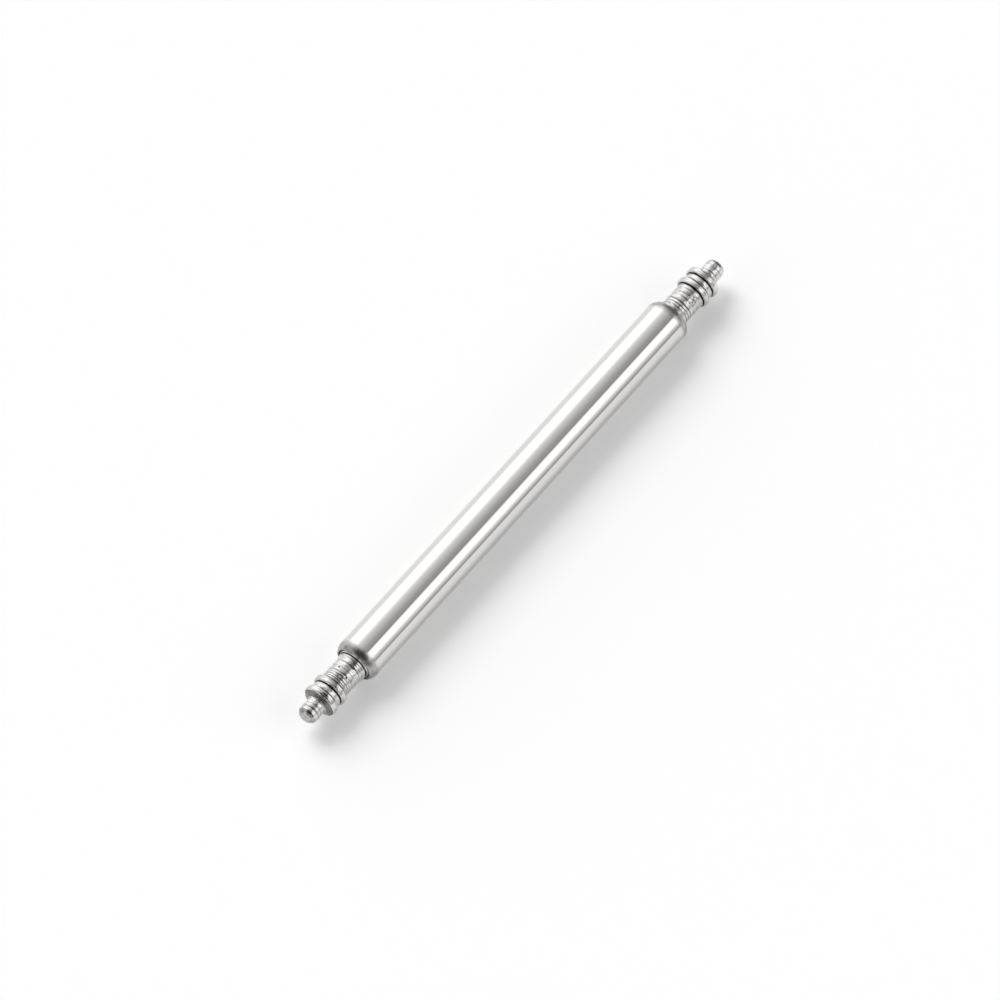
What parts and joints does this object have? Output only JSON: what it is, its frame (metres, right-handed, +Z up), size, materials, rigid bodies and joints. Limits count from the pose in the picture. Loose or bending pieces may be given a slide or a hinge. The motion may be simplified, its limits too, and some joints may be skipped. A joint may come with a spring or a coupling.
{
  "type": "spring bar",
  "caption": "Double-flanged spring bar: a polished tube with rolled ends, a sprung turned plunger at each end, and a coil spring inside.",
  "frame": {"origin": "centre of the bar, on its axis", "axes": "+X along the bar towards the right plunger's tip, +Z up, the bar lying flat"},
  "size_m": [0.025, 0.0018, 0.0018],
  "materials": {
    "barrel_steel": "polished",
    "plunger_steel": "gloss",
    "spring_steel": "satin"
  },
  "bodies": {
    "barrel": {"barrel_tube": "barrel_steel"},
    "spring": {"compression_spring": "spring_steel"},
    "left_plunger": {"left_plunger": "plunger_steel"},
    "right_plunger": {"right_plunger": "plunger_steel"}
  },
  "joints": [
    {"name": "core_spin", "type": "hinge", "parent": "barrel", "child": "spring", "pos_m": [0, 0, 0], "axis": [1, 0, 0], "continuous": true},
    {"name": "left_plunge", "type": "slide", "parent": "spring", "child": "left_plunger", "axis": [1, 0, 0], "range_m": [0, 0.00124], "stiffness_N_per_m": 1120, "deforming": ["compression_spring"]},
    {"name": "right_plunge", "type": "slide", "parent": "spring", "child": "right_plunger", "axis": [-1, 0, 0], "range_m": [0, 0.00124], "stiffness_N_per_m": 1120, "deforming": ["compression_spring"]}
  ]
}
